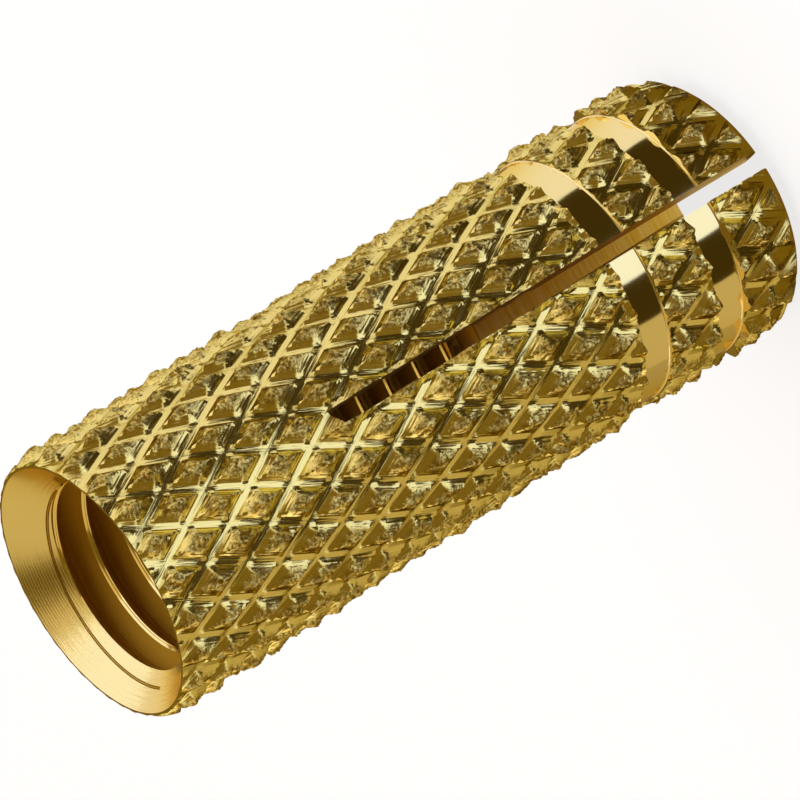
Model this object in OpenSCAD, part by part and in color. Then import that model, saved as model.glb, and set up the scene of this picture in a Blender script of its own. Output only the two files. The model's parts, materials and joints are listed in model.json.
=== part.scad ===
// Brass expansion anchor: a sleeve turned from one bar, knurled all over its wall, tapped
// from its mouth and sawn into two jaws that a screw spreads apart in a drilled hole.
// It stands on its slotted end, with its axis along +Z and its mouth at the top.
// All sizes are in millimetres, all angles in degrees.

/* [Body] */
// Diameter over the points of the knurl
body_d = 10; // [8.8:0.1:14]
// Overall length
body_len = 27.7; // [22:0.1:40]
// Radius of the rounded edge at the slotted end
end_round = 1.8; // [0.5:0.05:2.3]

/* [Mouth] */
// Width of the bevel outside the mouth, across the axis
bevel_w = 0.36; // [0.1:0.02:0.6]
// Length of that bevel along the axis
bevel_len = 0.8; // [0.3:0.05:2]
// Width of the flat rim between the bevel and the countersink
rim_w = 0.08; // [0.04:0.02:0.4]
// Included angle of the countersink
countersink_angle = 90; // [60:5:120]

/* [Bore] */
// Core diameter of the thread, as drilled for an 8 mm tap
bore_d = 6.8; // [5:0.1:7.8]
// Depth of the threaded bore below the mouth
thread_depth = 17.5; // [8:0.5:22]
// Diameter of the narrowed bore at the slotted end
tip_bore_d = 5.6; // [2:0.1:6]

/* [Ring grooves] */
// Number of plain grooves turned round the jaws
ring_count = 2; // [1:1:4]
// Height of the middle of the lowest groove above the slotted end
ring_first = 3.65; // [3.2:0.05:6]
// Distance from one groove to the next
ring_pitch = 3.3; // [2.5:0.05:6]
// Width of a groove along the axis
ring_w = 1.15; // [0.5:0.05:1.6]
// Depth of a groove below the points of the knurl
ring_depth = 0.42; // [0.2:0.02:0.6]

/* [Slot] */
// Width of the saw cut
slot_w = 0.66; // [0.3:0.02:1.5]
// Length of the saw cut along the wall
slot_len = 19.1; // [8:0.1:23]
// Angle that the saw cut leans from the axis, about the middle of its length
slot_lean = 0.85; // [0:0.05:3]
// Diameter of the saw that plunges along the axis and leaves the curved end of the cut
saw_d = 60; // [50:5:100]

/* [Knurl] */
// Number of grooves of each hand round the wall
knurl_count = 21; // [14:1:26]
// Angle between a groove and the axis
knurl_angle = 29.4; // [22:0.1:40]
// Depth of the grooves below the points
knurl_depth = 0.28; // [0.1:0.02:0.4]
// Width of the flat floor of a groove
knurl_floor_w = 0.22; // [0.06:0.02:0.36]
// Width of a point between opposite edges of its rim
point_w = 0.62; // [0.3:0.02:0.76]
// How far the rim of a point lies below its middle
point_crown = 0.1; // [0.02:0.02:0.16]
// Turn of the pattern about the axis
knurl_turn = 10.2; // [0:0.1:17]
// Height of a row of points above the slotted end
knurl_shift = 0.45; // [0:0.01:1.2]

/* [Hidden] */

// Facets of a full circle, and steps of the rounded edge
circle_facets = 96;
round_steps = 5;

// Stock left round the points, so that the turned wall clears them
stock = 0.05;
// How far the pattern runs past the ends
run_out = 0.1;
// Least width of the flat ring that the rounded edge leaves round the bore
end_flat = 0.3;
// Least height of a point's flank above the floor of the grooves
least_flank = 0.03;

body_r = body_d / 2;
stock_r = body_r + stock;
floor_r = body_r - knurl_depth;
rim_r = max(body_r - point_crown, floor_r + least_flank);
ring_r = body_r - ring_depth;
bore_r = bore_d / 2;
tip_r = tip_bore_d / 2;
round_r = min(end_round, stock_r - tip_r - end_flat);
face_r = body_r - bevel_w;
mouth_r = face_r - rim_w;
countersink_depth = (mouth_r - bore_r) / tan(countersink_angle / 2);
bevel_out = bevel_len * stock / bevel_w;

// The pattern is a lattice of diamonds, each with a groove along its four sides.
// half_turn and half_rise are half of a diamond round the wall and along the axis,
// and side_reach is the distance from its middle to a side.
half_turn = 180 / knurl_count;
half_arc = PI * body_r / knurl_count;
half_rise = half_arc / tan(knurl_angle);
side_reach = half_arc * cos(knurl_angle);
foot_share = 1 - knurl_floor_w / 2 / side_reach;
rim_share = point_w / 2 / side_reach;

// Rows of diamonds that cover the length, with both ends inside a full row
first_row = -ceil((knurl_shift + run_out) / half_rise);
last_row = ceil((body_len + run_out - knurl_shift) / half_rise);
row_count = last_row - first_row + 1;

// The four corners of a diamond, as steps round and along the wall
corner_steps = [[1, 0], [0, 1], [-1, 0], [0, -1]];
points_per_diamond = 9;

function odd(row) = abs(row % 2);
function row_z(row) = knurl_shift + row * half_rise;
function on_wall(r, turn, z) = [r * cos(turn), r * sin(turn), z];

// The middle of diamond i of a row, and a point that is a share of the way to its corner
function diamond_turn(row, i) = knurl_turn + (2 * i + odd(row)) * half_turn;
function diamond_point(row, i, step, share, r) =
    on_wall(r, diamond_turn(row, i) + step[0] * share * half_turn, row_z(row) + step[1] * share * half_rise);

// Crossings of the grooves lie halfway between the diamonds of each row
crossings = [
    for (row = [first_row - 1 : last_row + 1], i = [0 : knurl_count - 1])
        on_wall(floor_r, diamond_turn(row, i) + half_turn, row_z(row))
];
diamonds = [
    for (row = [first_row : last_row], i = [0 : knurl_count - 1])
        each concat(
            [for (step = corner_steps) diamond_point(row, i, step, foot_share, floor_r)],
            [for (step = corner_steps) diamond_point(row, i, step, rim_share, rim_r)],
            [diamond_point(row, i, [0, 0], 0, body_r)]
        )
];
cap_middles = [[0, 0, row_z(first_row - 1)], [0, 0, row_z(last_row + 1)]];

// Places of those points in the one list that the knurled bar is made from
function crossing_at(row, i) = (row - first_row + 1) * knurl_count + (i + knurl_count) % knurl_count;
function diamond_at(row, i) =
    len(crossings) + ((row - first_row) * knurl_count + i) * points_per_diamond;
function cap_at(end) = len(crossings) + len(diamonds) + end;

// The crossings at a diamond's corners, in the order of corner_steps
function corners_at(row, i) = [
    crossing_at(row, i),
    crossing_at(row + 1, i - 1 + odd(row)),
    crossing_at(row, i - 1),
    crossing_at(row - 1, i - 1 + odd(row))
];

function two_triangles(a, b, c, d) = [[a, b, c], [a, c, d]];

// A quarter of a diamond: groove floor, flank and the crowned top
function quarter(outer, first, s) =
    let (t = (s + 1) % 4, foot = first, rim = first + 4, middle = first + 8)
    concat(
        two_triangles(outer[t], outer[s], foot + s, foot + t),
        two_triangles(foot + t, foot + s, rim + s, rim + t),
        [[rim + t, rim + s, middle]]
    );
wall_faces = [
    for (row = [first_row : last_row], i = [0 : knurl_count - 1], s = [0 : 3])
        each quarter(corners_at(row, i), diamond_at(row, i), s)
];
cap_faces = [
    for (i = [0 : knurl_count - 1])
        let (low = corners_at(first_row, i), high = corners_at(last_row, i))
        each [
            [low[3], low[2], cap_at(0)],
            [low[0], low[3], cap_at(0)],
            [high[1], high[0], cap_at(1)],
            [high[2], high[1], cap_at(1)]
        ]
];

// Bar with crossed knurling, a little longer than the sleeve
module knurled_bar() {
    polyhedron(points = concat(crossings, diamonds, cap_middles), faces = concat(wall_faces, cap_faces));
}

// Half section of the turned sleeve, from the tip of the bore round the outside to the mouth
module turned_section() {
    rounded_end = [
        for (s = [0 : round_steps])
            let (a = 90 * s / round_steps)
            [stock_r - round_r * (1 - sin(a)), round_r * (1 - cos(a))]
    ];
    ring_grooves = [
        for (n = [0 : ring_count - 1])
            let (low = ring_first + n * ring_pitch - ring_w / 2, high = low + ring_w)
            each [[stock_r, low], [ring_r, low], [ring_r, high], [stock_r, high]]
    ];
    mouth = [
        [stock_r, body_len - bevel_len - bevel_out],
        [face_r, body_len],
        [mouth_r, body_len],
        [bore_r, body_len - countersink_depth],
        [bore_r, body_len - thread_depth],
        [tip_r, 0]
    ];
    polygon(concat(rounded_end, ring_grooves, mouth));
}

// The saw runs in along the axis, so that its rim leaves both jaws cut to slot_len at the wall
module saw_cut() {
    saw_r = saw_d / 2;
    saw_z = slot_len / 2 - sqrt(saw_r * saw_r - body_r * body_r);
    translate([0, 0, slot_len / 2])
        rotate([0, slot_lean, 0])
            translate([-slot_w / 2, 0, saw_z])
                rotate([0, 90, 0])
                    cylinder(h = slot_w, r = saw_r, $fn = circle_facets);
}

module anchor_sleeve() {
    color([0.80, 0.64, 0.30])
        difference() {
            intersection() {
                knurled_bar();
                rotate_extrude($fn = circle_facets) turned_section();
            }
            saw_cut();
        }
}

anchor_sleeve();
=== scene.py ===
# %% [markdown]
# # A brass expansion anchor
# The anchor is a sleeve turned from one brass bar. Its wall is knurled so that it grips a
# drilled hole, its mouth is countersunk and tapped, and a saw cut splits it into two jaws.
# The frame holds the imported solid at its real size. Every cell below works in millimetres
# in that same frame, so the finished mesh drops straight into the solid's place.

# %% Load the frame
import json
import math

import bpy
import numpy as np
from mathutils import Matrix, Vector


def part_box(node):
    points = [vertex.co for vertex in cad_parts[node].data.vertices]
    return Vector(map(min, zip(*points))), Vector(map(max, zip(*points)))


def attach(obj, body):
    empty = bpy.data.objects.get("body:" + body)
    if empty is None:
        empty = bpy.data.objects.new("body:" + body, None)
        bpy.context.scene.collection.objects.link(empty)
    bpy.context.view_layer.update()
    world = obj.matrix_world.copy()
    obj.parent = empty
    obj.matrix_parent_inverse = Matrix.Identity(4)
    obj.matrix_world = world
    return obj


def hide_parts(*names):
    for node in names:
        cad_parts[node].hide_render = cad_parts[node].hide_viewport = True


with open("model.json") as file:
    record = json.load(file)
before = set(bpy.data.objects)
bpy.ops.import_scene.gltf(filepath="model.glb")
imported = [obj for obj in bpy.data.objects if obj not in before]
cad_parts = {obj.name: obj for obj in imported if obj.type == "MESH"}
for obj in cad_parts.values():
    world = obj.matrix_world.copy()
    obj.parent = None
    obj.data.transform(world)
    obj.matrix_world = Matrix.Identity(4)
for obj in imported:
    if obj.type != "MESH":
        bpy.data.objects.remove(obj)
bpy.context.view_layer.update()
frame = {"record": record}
MM = 0.001

# %% [markdown]
# ## Driving sizes
# A turner works from a drawing with few sizes. The length comes from the frame's box, and
# the two diameters that matter come from the frame's record: the hole that the knurl fits
# and the core of the thread. The other sizes are those of the drawing, in millimetres.

# %% Driving sizes
SLEEVE = "anchor_sleeve"
low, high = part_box(SLEEVE)
mounts = {mount["name"]: mount["dims"] for mount in frame["record"]["mounts"]}
LENGTH = round((high.z - low.z) / MM, 3)
WALL_R = mounts["drilled_hole"]["r_mm"]
CORE_R = mounts["thread"]["r_mm"]
print("length", LENGTH, "wall radius", WALL_R, "thread core radius", CORE_R)

# %% [markdown]
# ## Closed meshes from arrays
# Boolean cuts need closed solids, so each tool and blank is made the same way: a sheet of
# faces in arrays, whose open ends are fanned to a point on the axis. An open edge is one
# whose opposite direction no other face uses, which is quick to find with whole arrays.
# Every solid carries the finish that its tool leaves, and a cut face keeps its tool's.

# %% Make closed solids
KNURLED, TURNED, BORED, TAPPED, SAWN = range(5)


def round_axis(radius, turn, height):
    """Points at a radius, a turn and a height, as one array that ends in x, y and z."""
    return np.stack(np.broadcast_arrays(radius * np.cos(turn), radius * np.sin(turn), height), axis=-1)


def open_edges(faces):
    """Directed edges of a sheet of quads that no second face uses."""
    corners = np.asarray(faces)
    edges = np.stack([corners, np.roll(corners, -1, axis=1)], axis=-1).reshape(-1, 2)
    used = set(map(tuple, edges.tolist()))
    return [edge for edge in edges.tolist() if (edge[1], edge[0]) not in used]


def fan_to_axis(points, faces):
    """Closes the lower and the upper open end of a sheet with fans to two points on the axis."""
    heights = points[:, 2]
    middle = (heights.min() + heights.max()) / 2
    rims = {"low": [], "high": []}
    for start, end in open_edges(faces):
        rims["low" if heights[start] < middle else "high"].append((end, start))
    closed = [tuple(face) for face in faces]
    for edges in rims.values():
        centre = (0, 0, np.mean([heights[start] for start, _ in edges]))
        points = np.vstack([points, centre])
        closed += [(start, end, len(points) - 1) for start, end in edges]
    return points, closed


def solid(name, points, faces, finish=0):
    """An object with a mesh given in millimetres, with one finish on every face."""
    mesh = bpy.data.meshes.new(name)
    mesh.from_pydata((np.asarray(points) * MM).tolist(), [], [list(face) for face in faces])
    mesh.polygons.foreach_set("material_index", [finish] * len(mesh.polygons))
    mesh.update()
    made = bpy.data.objects.new(name, mesh)
    bpy.context.scene.collection.objects.link(made)
    print(f"{name}: {len(mesh.vertices)} points, {len(mesh.polygons)} faces")
    return made


# %% [markdown]
# ## The knurl's lattice
# Two knurling wheels roll 21 grooves of each hand into the bar. Every place on the wall is
# found by how far it lies across the first set of grooves and across the second. Whole
# numbers are the middles of the diamonds, and the grooves lie halfway between them. One
# turn round the bar adds 21 to both numbers, which is what makes the pattern close.

# %% Lattice of the knurl
KNURL_COUNT = 21
KNURL_ANGLE = math.radians(29.4)
KNURL_TURN = math.radians(10.2)
KNURL_SHIFT = 0.45
KNURL_DEPTH = 0.42
GROOVE_FLOOR_W = 0.22
POINT_W = 0.62
POINT_CROWN = 0.22

half_turn = math.pi / KNURL_COUNT
half_arc = WALL_R * half_turn
half_rise = half_arc / math.tan(KNURL_ANGLE)
side_reach = half_arc * math.cos(KNURL_ANGLE)
rim_reach = side_reach - POINT_W / 2
floor_reach = GROOVE_FLOOR_W / 2
print(f"a diamond is {2 * half_arc:.3f} mm round the wall and {2 * half_rise:.3f} mm along it")


def on_wall(across_first, across_second):
    """Turn and height of a place on the wall, from its two lattice numbers."""
    turn = KNURL_TURN + half_turn * (across_first + across_second)
    return turn, KNURL_SHIFT + half_rise * (across_first - across_second)


# %% [markdown]
# ## A grid over the diamonds
# A knurl could be a bump in the finish, but its grooves shape the outline and catch the
# light one by one, so it is a mesh. Each diamond gets a grid with lines at the edges of
# the groove floor and at the rim of the point, and a few more over the top. Neighbours
# share their points: each point has two whole numbers as a key, and equal keys are merged.

# %% Grid over one diamond
TOP_STEPS = 4

floor_share = floor_reach / side_reach
rim_share = rim_reach / side_reach
flank_steps = [0.0, floor_share, (floor_share + rim_share) / 2]
to_middle = np.append(flank_steps, np.linspace(rim_share, 1.0, TOP_STEPS + 1)) / 2 - 0.5
steps = np.append(to_middle, -to_middle[-2::-1])
cuts = len(steps) - 1
print("a diamond has", cuts, "by", cuts, "faces")

first_row = -math.ceil(KNURL_SHIFT / half_rise)
last_row = math.ceil((LENGTH - KNURL_SHIFT) / half_rise)
row_numbers, column_numbers = np.arange(first_row, last_row + 1), np.arange(KNURL_COUNT)
rows, columns = np.meshgrid(row_numbers, column_numbers, indexing="ij")
first_cell, second_cell = (rows + columns).ravel(), columns.ravel()

# %% Shared points of the grid
reach = np.arange(cuts + 1)
first_key = first_cell[:, None, None] * cuts + reach[None, :, None] + 0 * reach[None, None, :]
second_key = second_cell[:, None, None] * cuts + 0 * reach[None, :, None] + reach[None, None, :]
around = KNURL_COUNT * cuts
laps = second_key // around
first_key, second_key = first_key - laps * around, second_key - laps * around
keys = np.stack([first_key.ravel(), second_key.ravel()], axis=1)
keys, place = np.unique(keys, axis=0, return_inverse=True)
place = place.reshape(first_key.shape)
bar_faces = np.stack(
    [place[:, :-1, :-1], place[:, 1:, :-1], place[:, 1:, 1:], place[:, :-1, 1:]], axis=-1
).reshape(-1, 4)
cell, step = keys // cuts, steps[keys % cuts]
turn, height_z = on_wall(cell[:, 0] + step[:, 0], cell[:, 1] + step[:, 1])
print(len(keys), "points on the wall")

# %% [markdown]
# ## Pressed grooves
# The wheels press the grooves, so their floors are smooth and flat with straight flanks.
# The first wheel sits a little deeper than the second, as it mostly does, and each groove
# has its own faint crease. At every point the deeper of the two sets of grooves wins.

# %% Press the grooves
SEED = 21
FIRST_DEEPER = 0.03
CREASE_DEPTHS = (0.003, 0.012)

random = np.random.default_rng(SEED)
groove = (cell + (step > 0)) % KNURL_COUNT
from_groove = (0.5 - np.abs(step)) * 2 * side_reach
flank = np.clip((from_groove - floor_reach) / (rim_reach - floor_reach), 0, 1)
floor_middle = np.clip(1 - from_groove / floor_reach, 0, 1)
creases = -random.uniform(*CREASE_DEPTHS, (KNURL_COUNT, 2))
lift = (KNURL_DEPTH - POINT_CROWN) * flank - np.array([FIRST_DEEPER, 0]) * (1 - flank)
lift += np.take_along_axis(creases, groove, axis=0) * floor_middle
relief = lift.min(axis=1)
print(f"the deepest groove is {KNURL_DEPTH - relief.min():.3f} mm deep")

# %% [markdown]
# ## Torn tops
# Between the grooves the metal is squeezed up and tears, so every top is a small crumbly
# crown of its own. It leans the way the wheels dragged it: one side is sheared smooth and
# the other is lumpy. The lumps must be wider than one face to be seen, so the random
# numbers are first evened out over neighbouring points. Raw numbers add the grain.

# %% Even lumps
def blend(values):
    """Evens out one number a point: each face takes its points' mean, each point its faces'."""
    of_face = values[bar_faces].mean(axis=1)
    total = np.bincount(bar_faces.ravel(), np.repeat(of_face, 4), len(values))
    return total / np.bincount(bar_faces.ravel(), minlength=len(values))


lumps = blend(random.uniform(-1, 1, len(keys)))
lumps /= lumps.std()
print(f"lumps lie between {lumps.min():.1f} and {lumps.max():.1f} times their usual size")

# %% Tear the tops
TORN_LEAN = 0.16
TORN_LUMP = 0.06
TORN_GRAIN = 0.035
# How far a torn top may stand proud of the wall
TORN_PROUD = 0.06
# Lowest and highest crown, as shares of the usual one
CROWN_SHARES = (0.5, 1.4)
# How fast the lumps grow along the shear, what they start from in the middle, and their least
LUMPY_SLOPE = 6
LUMPY_STARTS = (0.3, 1.0)
LUMPY_LEAST = 0.2
# Share of the lumps at a top's rim, and how near a point of the mesh must be to that rim
RIM_LUMPS = 0.5
RIM_SLACK = 0.99

nearest = from_groove.min(axis=1)
inside = np.clip((nearest - rim_reach) / (side_reach - rim_reach), 0, 1)
on_top = nearest > rim_reach * RIM_SLACK
diamond = np.unique(cell, axis=0, return_inverse=True)[1].ravel()


def each_diamond(lowest, highest):
    """One random number for each diamond, at all of its points."""
    return random.uniform(lowest, highest, diamond.max() + 1)[diamond]


crown = POINT_CROWN * each_diamond(*CROWN_SHARES)
lean = TORN_LEAN * each_diamond(0, 1)
shear = each_diamond(0, 2 * math.pi)
along_shear = step[:, 0] * np.cos(shear) + step[:, 1] * np.sin(shear)
lumpy = np.clip(LUMPY_SLOPE * along_shear + each_diamond(*LUMPY_STARTS), LUMPY_LEAST, 1)
grain = random.uniform(-1, 1, len(keys))
torn = lumpy * (RIM_LUMPS + (1 - RIM_LUMPS) * inside) * (TORN_LUMP * lumps + TORN_GRAIN * grain)
torn += crown * inside - lean * along_shear * inside
relief = np.minimum(relief + torn * on_top, KNURL_DEPTH + TORN_PROUD)
print(f"tops lie {KNURL_DEPTH - relief[on_top].mean():.3f} mm below the wall's outside on average")

# %% [markdown]
# ## Burrs and rolled edges
# Turning and sawing come after the knurl and push small burrs into its grooves, so the
# edges of the two ring grooves and of the slot are ragged. At the mouth the edge is rolled
# over: the grooves run out there, and the rim is smooth. At the slotted end the knurl
# follows only a part of the rounded edge, and the turning trims the rest of it away.

# %% Raise the burrs
RING_HEIGHTS = (3.65, 6.95)
RING_W = 1.15
SLOT_W = 0.66
SLOT_LEN = 19.1
SLOT_LEAN = math.radians(0.85)
RING_BURR = 0.1
SLOT_BURR = 0.16
# Lowest and highest burr, as shares of the usual one
BURR_SHARES = (0.5, 1.2)
BURR_REACH = 0.18

slot_x = math.tan(SLOT_LEAN) * (height_z - SLOT_LEN / 2)
to_slot = np.abs(np.abs(WALL_R * np.cos(turn) - slot_x) - SLOT_W / 2)
to_slot = np.where(height_z > SLOT_LEN, np.inf, to_slot)
past_ring = np.min([np.abs(height_z - ring_z) - RING_W / 2 for ring_z in RING_HEIGHTS], axis=0)
for burr_height, distance in ((RING_BURR, np.abs(past_ring)), (SLOT_BURR, to_slot)):
    burr = burr_height * (1 - distance / BURR_REACH) * random.uniform(*BURR_SHARES, len(keys))
    print(np.count_nonzero(burr > relief), "points are raised by a burr")
    relief = np.maximum(relief, np.minimum(burr, KNURL_DEPTH))

# %% Roll the edges
BEVEL_W = 0.36
BEVEL_LEN = 0.8
BEVEL_ROUND = 0.6
# Share of the knurl that is left on the bevel
BEVEL_KNURL = 0.1
END_ROUND = 1.8
# Share of the rounded edge that the knurl follows
END_FOLLOW = 0.25
RING_DEPTH = 0.42
# Stock that is left in a ring for the lathe to turn
RING_STOCK = 0.02

below = KNURL_DEPTH - relief
from_mouth = np.clip((LENGTH - height_z) / BEVEL_LEN, 0, 1)
bevel_r = WALL_R - BEVEL_W * (1 - from_mouth**BEVEL_ROUND)
wall_r = np.minimum(WALL_R - below, bevel_r - below * BEVEL_KNURL * from_mouth)
run_out_r = WALL_R - BEVEL_W - (below.max() - BEVEL_W) * from_mouth
wall_r = np.where(from_mouth < 1, np.maximum(wall_r, run_out_r), wall_r)
under_end = np.clip(END_ROUND - height_z, 0, END_ROUND)
wall_r -= END_FOLLOW * (END_ROUND - np.sqrt(END_ROUND**2 - under_end**2))
ring_r = WALL_R - RING_DEPTH
wall_r = np.where(past_ring < RING_STOCK, np.maximum(wall_r, ring_r + RING_STOCK), wall_r)
wall_points = round_axis(wall_r, turn, height_z)
sleeve = solid("knurled_sleeve", *fan_to_axis(wall_points, bar_faces), KNURLED)

# %% [markdown]
# ## Turned blank
# On the lathe the bar gets a well rounded edge at the slotted end and two plain ring
# grooves. All of them are one half section spun round the axis. Cutting the knurled bar
# with the spun blank leaves each groove with the ragged edge that turning through a knurl
# gives, which a bump could not do.

# %% Spin a half section
SPIN_STEPS = 192


def spin(name, section, finish):
    """A solid of revolution from the points (radius, height) of a half section, bottom to top."""
    turns = np.linspace(0, 2 * math.pi, SPIN_STEPS, endpoint=False)
    points = np.vstack([round_axis(radius, turns, height) for radius, height in section])
    index = np.arange(len(points)).reshape(len(section), SPIN_STEPS)
    beside = np.roll(index, -1, axis=1)
    faces = np.stack([index[:-1], beside[:-1], beside[1:], index[1:]], axis=-1).reshape(-1, 4)
    return solid(name, *fan_to_axis(points, faces), finish)


def arc(centre_r, centre_z, radius, start, end, count):
    """Points of a round stretch of a half section, between two angles in degrees."""
    angles = np.radians(np.linspace(start, end, count))
    return [(centre_r + radius * math.cos(a), centre_z + radius * math.sin(a)) for a in angles]


# %% Outside of the blank
STOCK = 0.05
END_STEPS = 13
RING_CORNER = 0.07
CORNER_STEPS = 5

stock_r = WALL_R + STOCK
section = arc(stock_r - END_ROUND, END_ROUND, END_ROUND, -90, 0, END_STEPS)
for ring_z in RING_HEIGHTS:
    lower, upper = ring_z - RING_W / 2, ring_z + RING_W / 2
    section.append((stock_r, lower))
    section += arc(ring_r + RING_CORNER, lower + RING_CORNER, RING_CORNER, 270, 180, CORNER_STEPS)
    section += arc(ring_r + RING_CORNER, upper - RING_CORNER, RING_CORNER, 180, 90, CORNER_STEPS)
    section.append((stock_r, upper))
section.append((stock_r, LENGTH))
blank = spin("turned_blank", section, TURNED)

# %% [markdown]
# ## Bore and countersink
# The bore is drilled, then narrowed towards the slotted end, so that a screw driven in
# spreads the jaws. A second spun section is the drill that leaves that bore and the
# countersink. It is a little under size, so that the tap has all of the thread to cut.

# %% Drill
TIP_R = 2.8
THREAD_DEPTH = 17.5
RIM_W = 0.08
DRILL_UNDER = 0.08
PAST = 1.0

drill_r = CORE_R - DRILL_UNDER
mouth_r = WALL_R - BEVEL_W - RIM_W
countersink_depth = mouth_r - drill_r
drill = spin(
    "drill",
    [
        (TIP_R, -PAST),
        (TIP_R, 0),
        (drill_r, LENGTH - THREAD_DEPTH),
        (drill_r, LENGTH - countersink_depth),
        (mouth_r + PAST, LENGTH + PAST),
    ],
    BORED,
)

# %% [markdown]
# ## Thread
# The tap is a helix: its rows climb one pitch in each turn, and the last point of a row
# meets the row one pitch higher. A tooth is a few points along one pitch, each with its
# share of the pitch and of the thread's depth. A cut thread has a crest that splits into two
# fine lines, and these are what the eye sees in the dark of the bore. The teeth fade at the
# tap's lower end, as on the lead of a real tap. Past the last crest the groove runs out, so
# that the mouth's cone stays whole.

# %% Tap
PITCH = 1.25
ROOT_R = 4.0
# Points of a tooth, as shares of the pitch and of the depth
CREST = [(0.0, 0.08), (0.03, 0.0), (0.06, 0.05), (0.09, 0.0), (0.12, 0.08)]
ROOT = [(0.5, 1.0), (0.62, 1.0), (0.9, 0.3)]
TAP_STEPS = 72
# Turns of the tap below the thread, and the part of a turn that it is set off by
TAP_BELOW = 2
TAP_PHASE = 0.79
# Where the lead starts and how long it is, in turns
LEAD_FROM = 0.8
LEAD_TURNS = 0.5
# The last crest, and the part of a turn in which the groove runs out before it
LAST_CREST = 14
RUN_OUT = 0.05
# How far the teeth that have faded clear the bore
BLUNT_UNDER = 0.02

tooth_points = np.array(CREST + ROOT)
tap_turns = math.ceil(THREAD_DEPTH / PITCH + TAP_BELOW)
tap_rows = tap_turns * len(tooth_points) + 1
row = np.arange(tap_rows)[:, None]
column = np.arange(TAP_STEPS)[None, :]
tooth = tooth_points[row % len(tooth_points)]
turns_up = row // len(tooth_points) + column / TAP_STEPS
climb = turns_up + tooth[..., 0]
lead = np.clip((climb - LEAD_FROM) / LEAD_TURNS, 0, 1)
past_last = np.clip((turns_up - LAST_CREST) / RUN_OUT + 1, 0, 1)
in_root = row % len(tooth_points) >= len(CREST)
cut_r = CORE_R + (ROOT_R - CORE_R) * tooth[..., 1]
blunt_r = drill_r - BLUNT_UNDER
tap_r = blunt_r + (cut_r - blunt_r) * lead * (1 - past_last * in_root)
tap_start = LENGTH - THREAD_DEPTH + (TAP_PHASE - TAP_BELOW) * PITCH
tap_points = round_axis(tap_r, 2 * math.pi * column / TAP_STEPS, tap_start + climb * PITCH)
print(f"the tap has {tap_turns} turns and {len(tooth_points)} points to a tooth")

# %% Close the tap
index = np.arange(tap_rows * TAP_STEPS).reshape(tap_rows, TAP_STEPS)
plain = np.stack([index[:-1, :-1], index[:-1, 1:], index[1:, 1:], index[1:, :-1]], axis=-1)
higher = index[len(tooth_points):, 0]
last = index[:len(higher), -1]
lapped = np.stack([last[:-1], higher[:-1], higher[1:], last[1:]], axis=-1)
tap_faces = np.vstack([plain.reshape(-1, 4), lapped])
tap = solid("tap", *fan_to_axis(tap_points.reshape(-1, 3), tap_faces), TAPPED)

# %% [markdown]
# ## Saw cut
# A slitting saw runs in along the axis and leaves two jaws. The end of its cut is a slice
# of the saw's own round edge, so the tool is an outline with one wide arc, pushed through.
# The cut leans a little, as it does on the real sleeve.

# %% Saw
SAW_R = 30.0
SAW_STEPS = 24

saw_y = np.linspace(WALL_R + PAST, -WALL_R - PAST, SAW_STEPS)
saw_z = SLOT_LEN - math.sqrt(SAW_R**2 - WALL_R**2) + np.sqrt(SAW_R**2 - saw_y**2)
outline = [*zip(saw_y, saw_z), (-WALL_R - PAST, -PAST), (WALL_R + PAST, -PAST)]
count = len(outline)
sides = np.array([(side * SLOT_W / 2, y, z) for side in (-1, 1) for y, z in outline])
pivot = np.array([0, 0, SLOT_LEN / 2])
saw_points = (sides - pivot) @ np.array(Matrix.Rotation(SLOT_LEAN, 3, "Y")).T + pivot
saw_faces = [range(count)[::-1], range(count, 2 * count)]
saw_faces += [(i, (i + 1) % count, (i + 1) % count + count, i + count) for i in range(count)]
saw = solid("saw", saw_points, saw_faces, SAWN)

# %% [markdown]
# ## Cutting in order
# The cuts follow the order of the workshop: turn, drill, tap, saw. A boolean modifier does
# each one, and its result is kept at once, so that no tool is left in the scene.

# %% Cut
def cut(work, tool, operation):
    """Cuts a solid with a tool, keeps the result and throws the tool away."""
    modifier = work.modifiers.new(tool.name, "BOOLEAN")
    modifier.object = tool
    modifier.operation = operation
    modifier.solver = "MANIFOLD"
    evaluated = work.evaluated_get(bpy.context.evaluated_depsgraph_get())
    result = bpy.data.meshes.new_from_object(evaluated)
    work.modifiers.clear()
    work.data = result
    bpy.data.objects.remove(tool)
    print(f"{operation.lower()}: {len(result.vertices)} points, {len(result.polygons)} faces")


cut(sleeve, blank, "INTERSECT")
for tool in (drill, tap, saw):
    cut(sleeve, tool, "DIFFERENCE")
finishes = np.empty(len(sleeve.data.polygons), dtype=np.int32)
sleeve.data.polygons.foreach_get("material_index", finishes)
print("faces of each finish", np.bincount(finishes))

# %% [markdown]
# ## Shader sums as Python
# A finish is a network of nodes. Written node by node it is hard to read, so one small
# class wraps a socket and lets Python's own operators add the Math nodes. It also has a
# method for a ramp from 0 to 1 and one for a mix of two colours. A Mix node has sockets for
# each kind of data, and those for colours are inputs 6 and 7 and output 2.

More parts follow.
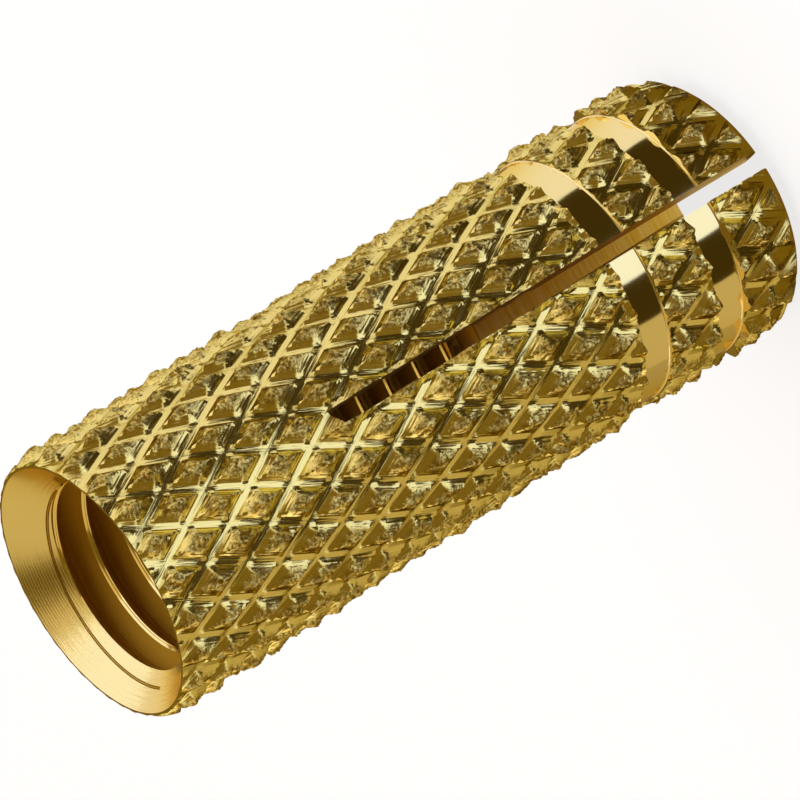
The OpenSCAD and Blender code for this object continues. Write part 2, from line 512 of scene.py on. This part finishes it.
# %% Wire class
class Wire:
    """A socket of a node tree that takes part in Python expressions."""

    def __init__(self, tree, socket=None):
        self.tree = tree
        self.socket = socket

    def node(self, kind, settings=None, inputs=None, output=0):
        """Adds a node: first its settings, then the values or links of its sockets."""
        made = self.tree.nodes.new("ShaderNode" + kind)
        for name, value in (settings or {}).items():
            setattr(made, name, value)
        for name, value in (inputs or {}).items():
            if isinstance(value, Wire):
                self.tree.links.new(value.socket, made.inputs[name])
            else:
                made.inputs[name].default_value = value
        return Wire(self.tree, made.outputs[output] if made.outputs else None)

    def math(self, operation, *values):
        """A Math node of one operation."""
        return self.node("Math", {"operation": operation}, dict(enumerate(values)))

    def ramp(self, start, end):
        """A number that goes from 0 to 1 as this one goes from start to end."""
        return self.node("MapRange", inputs={"Value": self, "From Min": start, "From Max": end})

    def mix(self, share, start, end):
        """A colour that goes from one to another as a share goes from 0 to 1."""
        return self.node("Mix", {"data_type": "RGBA"}, {0: share, 6: start, 7: end}, output=2)

    def __add__(self, other):
        return self.math("ADD", self, other)

    def __sub__(self, other):
        return self.math("SUBTRACT", self, other)

    def __rsub__(self, other):
        return self.math("SUBTRACT", other, self)

    def __mul__(self, other):
        return self.math("MULTIPLY", self, other)

    def __truediv__(self, other):
        return self.math("DIVIDE", self, other)

    def __rtruediv__(self, other):
        return self.math("DIVIDE", other, self)

    __radd__ = __add__
    __rmul__ = __mul__


def start_material(name):
    """A new material with an empty node tree, and a wire to add its nodes with."""
    material = bpy.data.materials.new(name)
    material.use_nodes = True
    material.node_tree.nodes.clear()
    return material, Wire(material.node_tree)


# %% [markdown]
# ## Brass
# Every face is brass, and only the tool that made it differs. So one function starts a
# finish with the place on the sleeve, in millimetres and as a radius and a turn. A second
# one makes tool marks, which are noise stretched into lines. A third joins colour,
# roughness and marks to one metal shader. Each finish mixes a clean colour with a second
# shade, and its edge colour is what the metal shows at a grazing view.

# %% Brass base
BRASS = (0.90, 0.75, 0.33, 1.0)
BRASS_EDGE = (0.85, 0.68, 0.30, 1.0)
MARK_DEPTH = 0.01 * MM

sleeve_finishes = []


def start_brass(name):
    """A new finish of the sleeve: its wire, the place on it, its radius, turn and height."""
    material, sheet = start_material(name)
    sleeve_finishes.append(material)
    place = sheet.node("TexCoord", output="Object")
    place = sheet.node("VectorMath", {"operation": "SCALE"}, {0: place, "Scale": 1 / MM})
    parts = sheet.node("SeparateXYZ", inputs={0: place})
    x, y, z = (Wire(sheet.tree, socket) for socket in parts.socket.node.outputs)
    return sheet, place, sheet.math("SQRT", x * x + y * y), sheet.math("ARCTAN2", y, x), z


def streaks(sheet, place, detail, jagged=0.5, dimensions="3D"):
    """Noise in lines, from a place whose numbers run faster across the lines than along them."""
    look = {"Vector": sheet.node("CombineXYZ", inputs=dict(enumerate(place))), "Scale": 1.0}
    look.update({"Detail": detail, "Roughness": jagged})
    return sheet.node("TexNoise", {"noise_dimensions": dimensions}, look)


def finish_brass(sheet, shade, share, roughness, marks, strength, clean=BRASS, edge=BRASS_EDGE):
    """Joins a share of a second shade, roughness and the tool marks' height to one metal shader."""
    bump = sheet.node("Bump", inputs={"Strength": strength, "Distance": MARK_DEPTH, "Height": marks})
    look = {"Base Color": sheet.mix(share, clean, shade), "Roughness": roughness, "Normal": bump}
    shader = sheet.node("BsdfPrincipled", inputs={**look, "Metallic": 1.0, "Specular Tint": edge})
    sheet.node("OutputMaterial", inputs={"Surface": shader})
    print(sleeve_finishes[-1].name, "has", len(sheet.tree.nodes), "nodes")


# %% [markdown]
# ## Knurled brass
# The finish needs to know where it is in the pattern, so it works out the same two lattice
# numbers as the mesh did. The wheels leave fine lines along their grooves and small
# terraces up the flanks. The torn tops are grainy and take some dark brown as painted shade
# of their crumbs, most of it in the pits between the grains, and random patches add a
# little of that brown as tone. A deep edge colour keeps the flanks that are seen at a
# grazing view dark as well.

# %% Place in the pattern
RIM_FADE = 0.15

sheet, place, _, turn, z = start_brass("brass_knurled")
round_part = (turn - KNURL_TURN) / half_turn
along_part = (z - KNURL_SHIFT) / half_rise
first = (round_part + along_part) / 2
second = (round_part - along_part) / 2


def off_groove(number):
    """How far a place is from the nearest groove of one hand: 0 in its middle, 1 between two."""
    return sheet.math("PINGPONG", number - 0.5, 0.5) * 2


first_off, second_off = off_groove(first), off_groove(second)
off = sheet.math("MINIMUM", first_off, second_off)
torn_mask = off.ramp(rim_share - RIM_FADE, rim_share + RIM_FADE)
print(len(sheet.tree.nodes), "nodes find the place in the pattern")

# %% Lines, terraces and grain
LINES_ACROSS = 14.0
LINES_ALONG = 1.2
PATCH_SCALE = 0.6
# Where the flank starts, as a share of the floor's reach
FLANK_FROM = 1.1
# Width of a terrace, and how far the patches move it, in radians
TERRACE = 0.1
TERRACE_WANDER = 6.0
GRAIN_SCALE = 8.0
# Grain at which the painted shade of a pit starts, and at which it is darkest
PIT_PAINTED_EDGES = (0.54, 0.45)


def tracks(across, along):
    """Fine lines that the wheel leaves along one set of grooves."""
    return streaks(sheet, (across * LINES_ACROSS, along * LINES_ALONG), detail=2.0, dimensions="2D")


by_first = sheet.math("LESS_THAN", first_off, second_off)
tool_lines = tracks(first, second) * by_first + tracks(second, first) * (1 - by_first)
patches = sheet.node("TexNoise", inputs={"Vector": place, "Scale": PATCH_SCALE, "Detail": 2.0})
on_flank = sheet.math("GREATER_THAN", off, floor_share * FLANK_FROM) * (1 - torn_mask)
up_flank = off * (side_reach * 2 * math.pi / TERRACE) + patches * TERRACE_WANDER
terraces = sheet.math("SINE", up_flank) * on_flank
torn_grain = sheet.node("TexNoise", inputs={"Vector": place, "Scale": GRAIN_SCALE, "Detail": 3.0})
# Painted shade in the pits between the torn tops' grains
pit_painted_shade = torn_grain.ramp(*PIT_PAINTED_EDGES)
print(len(sheet.tree.nodes), "nodes with the marks of the wheels")

# %% Knurled brass
KNURL_CLEAN = (0.90, 0.74, 0.235, 1.0)
# Dark brown for random patches of tone, and for painted shade on the torn tops
KNURL_TONE_AND_PAINTED_SHADE = (0.34, 0.21, 0.03, 1.0)
KNURL_EDGE = (0.25, 0.17, 0.05, 1.0)
# Shares of the dark brown: random patches of tone, painted shade on the torn tops, and more painted
# shade in their pits
PATCH_SHARE = 0.2
TOP_PAINTED_SHARE = 0.15
PIT_PAINTED_SHARE = 0.75
# Roughness of the grooves, and what the tracks and the torn tops add to it
GROOVE_ROUGH = 0.14
TRACK_ROUGH = 0.08
TORN_ROUGH = 0.12
# Heights of the marks, as shares of the usual depth
FLOOR_MARKS = 1.5
FLANK_MARKS = 1.0
GRAIN_MARKS = 6.0
TERRACE_MARKS = 0.15

track_marks = tool_lines * (1 - torn_mask) * (FLOOR_MARKS - on_flank * (FLOOR_MARKS - FLANK_MARKS))
finish_brass(
    sheet,
    shade=KNURL_TONE_AND_PAINTED_SHADE,
    share=patches * PATCH_SHARE + torn_mask * (TOP_PAINTED_SHARE + pit_painted_shade * PIT_PAINTED_SHARE),
    roughness=GROOVE_ROUGH + tool_lines * TRACK_ROUGH + torn_mask * TORN_ROUGH,
    marks=track_marks + torn_grain * GRAIN_MARKS * torn_mask + terraces * TERRACE_MARKS,
    strength=0.8,
    clean=KNURL_CLEAN,
    edge=KNURL_EDGE,
)

# %% [markdown]
# ## Turned brass
# The ring grooves and the rounded end are turned bright with a fine tool. They are almost
# mirrors, with faint lines round the axis. Every turned face a little above the ring floors,
# the sides of the rings and the outer part of the rounded end, is painted a paler colour as
# a painted highlight.

# %% Turned brass
TURNED_CLEAN = (0.89, 0.73, 0.31, 1.0)
# Paler colour of the painted highlight on the sides of the rings and the rounded end
PAINTED_SIDE_HIGHLIGHT = (0.97, 0.92, 0.72, 1.0)
SIDE_HIGHLIGHT_SHARE = 0.9
# How far above a ring's floor the painted highlight begins
RING_SIDE = 0.03
# How fast the lines change across them in a millimetre, and along them in a radian
TURNED_LINES = 22.0
TURNED_WANDER = 0.6
TURNED_ROUGH = 0.07
TURNED_LINE_ROUGH = 0.06

sheet, _, radius, turn, z = start_brass("brass_turned")
rings = (radius * TURNED_LINES, z * TURNED_LINES, turn * TURNED_WANDER)
ring_lines = streaks(sheet, rings, detail=3.0)
# Painted highlight: a paler colour on the turned faces above the ring floors
on_highlit_side = sheet.math("GREATER_THAN", radius, ring_r + RING_SIDE)
finish_brass(
    sheet,
    shade=PAINTED_SIDE_HIGHLIGHT,
    share=on_highlit_side * SIDE_HIGHLIGHT_SHARE,
    roughness=TURNED_ROUGH + ring_lines * TURNED_LINE_ROUGH,
    marks=ring_lines,
    strength=0.1,
    clean=TURNED_CLEAN,
)

# %% [markdown]
# ## Bored brass
# The drill and the countersink leave coarser lines round the axis than the outside has, and
# the bore is duller than the mouth's cone. The bore is also painted a darker brown, as
# painted shade inside it. On the cone the tool chattered over a short stretch. One dark line
# follows the thread's helix, where its groove runs out: a dent darkened with painted shade.

# %% Lines in the mouth
BORED_LINES = 7.0
BORED_WANDER = 0.4
DULL_EDGES = (0.42, 0.58)
# Middle of the chatter, and how far from it the chatter ends and how near it is full
CHATTER_TURN = math.radians(74)
CHATTER_REACH = math.radians(20)
CHATTER_FULL = 0.1
CHATTER_PITCH = 0.07
LINE_TURN = math.radians(84)
LINE_REACH = math.radians(80)
# How far the dark line, a dent with painted shade, lies above the last crest, and half its width, in
# pitches
LINE_ABOVE = 0.275
LINE_W = 0.03

sheet, _, radius, turn, z = start_brass("brass_bored")
rings = (radius * BORED_LINES, z * BORED_LINES, turn * BORED_WANDER)
ring_lines = streaks(sheet, rings, detail=4.0, jagged=0.7)
dull = ring_lines.ramp(*DULL_EDGES)
chatter = sheet.math("ABSOLUTE", turn - CHATTER_TURN).ramp(CHATTER_REACH, CHATTER_FULL)
chatter_lines = sheet.math("SINE", radius * (2 * math.pi / CHATTER_PITCH)) * 0.5 + 0.5
line_helix = tap_start / PITCH + LAST_CREST + LINE_ABOVE
off_line = sheet.math("ABSOLUTE", z / PITCH - turn / (2 * math.pi) - line_helix)
near_line = sheet.math("LESS_THAN", sheet.math("ABSOLUTE", turn - LINE_TURN), LINE_REACH)
# A dent along the run-out, darkened with painted shade
line_dent_and_painted_shade = off_line.ramp(LINE_W, LINE_W / 2) * near_line
print(len(sheet.tree.nodes), "nodes with the lines in the mouth")

# %% Bored brass
CONE_CLEAN = (0.85, 0.765, 0.40, 1.0)
# The cone's dark brown serves the chatter marks and the run-out line's painted shade
CHATTER_AND_PAINTED_LINE_SHADE = (0.40, 0.25, 0.04, 1.0)
# Painted shade inside the bore, and how much of it the bore takes
BORE_LINE_AND_PAINTED_SHADE = (0.68, 0.40, 0.035, 1.0)
BORE_PAINTED_SHARE = 0.8
CHATTER_SHARE = 0.7
CONE_ROUGH = 0.2
BORE_ROUGH = 0.4
BORED_LINE_ROUGH = 0.1
RING_MARKS = 3.0
LINE_MARKS = 12.0

in_bore = sheet.math("LESS_THAN", z, LENGTH - countersink_depth)
# Painted shade inside the bore, a little deeper along the tool's lines
bore_painted_share = in_bore * (BORE_PAINTED_SHARE + dull * (1 - BORE_PAINTED_SHARE))
cone_share = (1 - in_bore) * chatter * chatter_lines * CHATTER_SHARE
finish_brass(
    sheet,
    shade=sheet.mix(in_bore, CHATTER_AND_PAINTED_LINE_SHADE, BORE_LINE_AND_PAINTED_SHADE),
    share=bore_painted_share + cone_share + line_dent_and_painted_shade,
    roughness=CONE_ROUGH + ring_lines * BORED_LINE_ROUGH + in_bore * (BORE_ROUGH - CONE_ROUGH),
    marks=ring_lines * RING_MARKS - line_dent_and_painted_shade * LINE_MARKS,
    strength=0.6,
    clean=CONE_CLEAN,
)

# %% [markdown]
# ## Tapped brass
# A tap scrapes, so the flanks of the thread are dull, with fine scratches that follow the
# helix. The flanks are also painted a dark brown, as painted shade inside the bore. The
# number that stays the same along the helix is the height less the climb of the turn. Only
# the crests, where the drill was, keep the clean colour, so they stand out as bright lines.

# %% Tapped brass
# Dark brown of the flanks' painted shade, varied by the scratches
TAPPED_SCRATCH_AND_PAINTED_SHADE = (0.60, 0.36, 0.02, 1.0)
TAPPED_EDGE = (0.60, 0.40, 0.10, 1.0)
SCRATCHES = 18.0
CREST_W = 0.07
TAPPED_PAINTED_SHARE = 0.85
CREST_ROUGH = 0.12
TAPPED_ROUGH = 0.72

sheet, _, radius, turn, z = start_brass("brass_tapped")
helix = z / PITCH - turn / (2 * math.pi)
scratch_lines = streaks(sheet, (radius * SCRATCHES, helix * SCRATCHES), detail=3.0)
# Painted shade: the flanks take a dark brown, and the crests keep the clean colour
shaded_flanks = sheet.math("GREATER_THAN", radius, CORE_R + CREST_W)
finish_brass(
    sheet,
    shade=TAPPED_SCRATCH_AND_PAINTED_SHADE,
    share=shaded_flanks * (TAPPED_PAINTED_SHARE + scratch_lines * (1 - TAPPED_PAINTED_SHARE)),
    roughness=CREST_ROUGH + shaded_flanks * (TAPPED_ROUGH - CREST_ROUGH),
    marks=scratch_lines,
    strength=0.2,
    edge=TAPPED_EDGE,
)

# %% [markdown]
# ## Sawn brass
# The saw's teeth leave strokes across the cut, and the walls are duller than the rest. The
# walls are also painted a darker brown, as painted shade of the narrow slot, and the strokes
# add more of it. The strokes are noise once more: it changes fast up the wall and slowly
# along the saw's path.

# %% Sawn brass
# Darker brown of the walls' painted shade, deepened along the strokes
SAWN_STROKE_AND_PAINTED_SHADE = (0.55, 0.33, 0.05, 1.0)
STROKES_UP = 7.0
STROKES_ACROSS = 0.4
SAWN_PAINTED_SHARE = 0.6
SAWN_ROUGH = 0.3
STROKE_ROUGH = 0.2
STROKE_MARKS = 2.0

sheet, _, radius, _, z = start_brass("brass_sawn")
saw_lines = streaks(sheet, (z * STROKES_UP, radius * STROKES_ACROSS), detail=4.0)
finish_brass(
    sheet,
    shade=SAWN_STROKE_AND_PAINTED_SHADE,
    share=SAWN_PAINTED_SHARE + saw_lines * (1 - SAWN_PAINTED_SHARE),
    roughness=SAWN_ROUGH + saw_lines * STROKE_ROUGH,
    marks=saw_lines * STROKE_MARKS,
    strength=0.6,
)

# %% [markdown]
# ## Into the frame
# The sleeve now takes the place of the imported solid. Edges sharper than the angle below
# stay crisp and the rest are shaded smooth.

# %% Put the sleeve in the frame
SHARP_ANGLE = math.radians(30)

sleeve.data.materials.clear()
for material in sleeve_finishes:
    sleeve.data.materials.append(material)
sleeve.data.polygons.foreach_set("material_index", finishes)
sleeve.data.shade_smooth()
sleeve.data.set_sharp_from_angle(angle=SHARP_ANGLE)
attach(sleeve, "root")
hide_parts(SLEEVE)
print("triangles", sum(len(face.vertices) - 2 for face in sleeve.data.polygons))

# %% [markdown]
# ## Camera
# The sleeve stands upright in the frame, and the photograph is taken from above its mouth
# with the camera rolled, so the sleeve lies across the picture.

# %% Camera
VIEW_FROM_AXIS = math.radians(63.04)
VIEW_TURN = math.radians(-4.455)
VIEW_ROLL = math.radians(-122.367)
VIEW_DISTANCE = 285.7
FRAME_W = 26.599
AIM_Z = 13.864
OFF_RIGHT = 0.359
OFF_UP = 0.383
CLIP_START = 10.0

aim = Vector((0, 0, AIM_Z))
back = Vector(
    (
        math.sin(VIEW_FROM_AXIS) * math.sin(VIEW_TURN),
        -math.sin(VIEW_FROM_AXIS) * math.cos(VIEW_TURN),
        math.cos(VIEW_FROM_AXIS),
    )
)
level_right = Vector((0, 0, 1)).cross(back).normalized()
level_up = back.cross(level_right)
right = level_right * math.cos(VIEW_ROLL) + level_up * math.sin(VIEW_ROLL)
up = level_up * math.cos(VIEW_ROLL) - level_right * math.sin(VIEW_ROLL)
eye = aim + back * VIEW_DISTANCE - right * OFF_RIGHT - up * OFF_UP

camera = bpy.data.objects.new("camera", bpy.data.cameras.new("camera"))
camera.data.lens = camera.data.sensor_width * VIEW_DISTANCE / FRAME_W
camera.data.clip_start = CLIP_START * MM
camera.matrix_world = Matrix.Translation(eye * MM) @ Matrix((right, up, back)).transposed().to_4x4()
bpy.context.scene.collection.objects.link(camera)
bpy.context.scene.camera = camera
bpy.context.scene.view_settings.view_transform = "Standard"
print("camera at", [round(v, 1) for v in eye], "mm")

# %% [markdown]
# ## Floor
# The sleeve stands on a plain pale floor that fills the picture. Most of its white is a
# glow that only the camera and mirror rays see, so the background is white without more
# light on the brass, and the rest is paint that keeps the sleeve's shadow.

# %% Floor
FLOOR_R = 2000.0
FLOOR_STEPS = 96
FLOOR_DROP = 0.01
FLOOR_GLOW = 0.78
PALE = (0.95, 0.95, 0.95, 1.0)
PAPER_WHITE = (1.0, 1.0, 1.0, 1.0)

turns = np.linspace(0, 2 * math.pi, FLOOR_STEPS, endpoint=False)
floor = solid("floor", round_axis(FLOOR_R, turns, -FLOOR_DROP), [range(FLOOR_STEPS)])

material, sheet = start_material("pale_floor")
kinds = ("Is Camera Ray", "Is Glossy Ray", "Is Transmission Ray")
rays = [sheet.node("LightPath", output=kind) for kind in kinds]
seen = sheet.math("MAXIMUM", rays[0], sheet.math("MAXIMUM", rays[1], rays[2]))
matt = {"Base Color": PALE, "Roughness": 0.9, "Specular IOR Level": 0.0}
paint = sheet.node("BsdfPrincipled", inputs=matt)
glow = sheet.node("Emission", inputs={"Color": PAPER_WHITE, "Strength": 1.0})
mixed = sheet.node("MixShader", inputs={0: seen * FLOOR_GLOW, 1: paint, 2: glow})
sheet.node("OutputMaterial", inputs={"Surface": mixed})
floor.data.materials.append(material)

# %% [markdown]
# ## Room
# Bright metal is a mirror: it shows whatever stands round it, and a room that is white on
# every side would wash the brass out. So the room is dim and warm, and what is bright in it
# is a few lamps and cards.

# %% Room
ROOM_COLOUR = (1.0, 0.65, 0.1, 1.0)
ROOM_LIGHT = 0.2

world = bpy.data.worlds.new("room")
world.use_nodes = True
world.node_tree.nodes.clear()
sheet = Wire(world.node_tree)
glow = sheet.node("Background", inputs={"Color": ROOM_COLOUR, "Strength": ROOM_LIGHT})
sheet.node("OutputWorld", inputs={"Surface": glow})
bpy.context.scene.world = world
print("room light", ROOM_LIGHT)

# %% [markdown]
# ## Lamps
# A large soft lamp overhead lights the floor and leaves a faint shadow. Mirror rays do not
# see it, so the thread and the tops of the knurl stay dark. The other soft lamps stand
# round the sleeve where its flanks and the countersink mirror them, and a lamp's strength
# is given as the brightness that a mirror would show.

# %% Lamps
COOL = (0.95, 0.92, 1.0)
MILD = (1.0, 0.86, 0.78)
WARM = (1.0, 0.76, 0.4)


def lamp(name, azimuth, elevation, distance, size, brightness, colour, mirrored=True):
    """A square soft lamp that looks at the middle of the sleeve."""
    light = bpy.data.lights.new(name, "AREA")
    light.size = size * MM
    light.energy = brightness * math.pi * (size * MM) ** 2
    light.color = colour
    a, e = math.radians(azimuth), math.radians(elevation)
    toward = Vector((math.cos(a) * math.cos(e), math.sin(a) * math.cos(e), math.sin(e)))
    made = bpy.data.objects.new(name, light)
    facing = toward.to_track_quat("Z", "Y").to_matrix().to_4x4()
    made.matrix_world = Matrix.Translation((aim + toward * distance) * MM) @ facing
    made.visible_camera = False
    made.visible_glossy = mirrored
    bpy.context.scene.collection.objects.link(made)
    print(f"{name}: {azimuth} degrees round, {elevation} degrees up, {size} mm wide")


lamp("top_lamp", -90, 88, distance=450, size=520, brightness=2.2, colour=COOL, mirrored=False)
lamp("main_lamp", -5, 38, distance=300, size=400, brightness=1.05, colour=COOL)
lamp("front_lamp", -75, 64, distance=300, size=170, brightness=0.6, colour=WARM)
lamp("far_lamp", 48, 12, distance=300, size=200, brightness=0.8, colour=MILD)
lamp("back_lamp", 152, 27, distance=300, size=480, brightness=0.5, colour=WARM)
lamp("side_lamp", 166, 5, distance=290, size=100, brightness=1.0, colour=COOL)

# %% [markdown]
# ## Cards
# Round metal is shaped with cards, as in any product studio: black cards cut dark bands
# into it and white cards cut bright ones. They lie on the floor round the sleeve, and only
# mirror rays see them, so the picture of the floor stays clean. The ring grooves mirror the
# floor close by and the upper wall mirrors it farther off, so the front has near and far
# cards.

# %% Cards on the floor
CARD_STEPS = 24
CARD_LIFT = 0.02


def card(name, sector, reach, colour, strength):
    """A sector of card on the floor, between two azimuths in degrees and two radii."""
    angles = np.radians(np.linspace(*sector, CARD_STEPS))
    points = np.vstack([round_axis(radius, angles, CARD_LIFT) for radius in reach])
    faces = [(i, i + CARD_STEPS, i + CARD_STEPS + 1, i + 1) for i in range(CARD_STEPS - 1)]
    made = solid(name, points, faces)
    material, sheet = start_material(name)
    glow = sheet.node("Emission", inputs={"Color": (*colour, 1.0), "Strength": strength})
    sheet.node("OutputMaterial", inputs={"Surface": glow})
    made.data.materials.append(material)
    made.visible_camera = made.visible_diffuse = made.visible_shadow = False
    made.visible_transmission = made.visible_volume_scatter = False


BLACK = (1.0, 0.65, 0.1)
WHITE = (0.78, 0.85, 1.2)
CREAM = (0.95, 0.92, 1.05)
GREY = (1.0, 0.81, 0.45)
# Inner and outer radius of the cards
FOOT = (3.0, 6.5)
NEAR = (6.5, 38.0)
FAR = (38.0, 120.0)
WHOLE = (NEAR[0], FAR[1])
# The foot card is a painted shadow: mirror rays see it as the dark contact shadow round the sleeve's
# foot
card("foot_card", (-180, 180), FOOT, BLACK, strength=0.2)
card("front_black_card", (-83, -32), NEAR, BLACK, strength=0.05)
card("far_black_card", (-72, -32), FAR, BLACK, strength=0.05)
card("far_white_card", (-83, -72), FAR, WHITE, strength=1.4)
card("front_white_card", (-114, -83), WHOLE, WHITE, strength=1.4)
card("low_black_card", (-148, -114), WHOLE, BLACK, strength=0.05)
card("low_grey_card", (-190, -148), WHOLE, GREY, strength=0.6)
card("low_dim_card", (-235, -190), WHOLE, GREY, strength=0.46)
card("back_dim_card", (45, 125), WHOLE, GREY, strength=0.36)
card("side_white_card", (-32, 45), WHOLE, CREAM, strength=1.05)
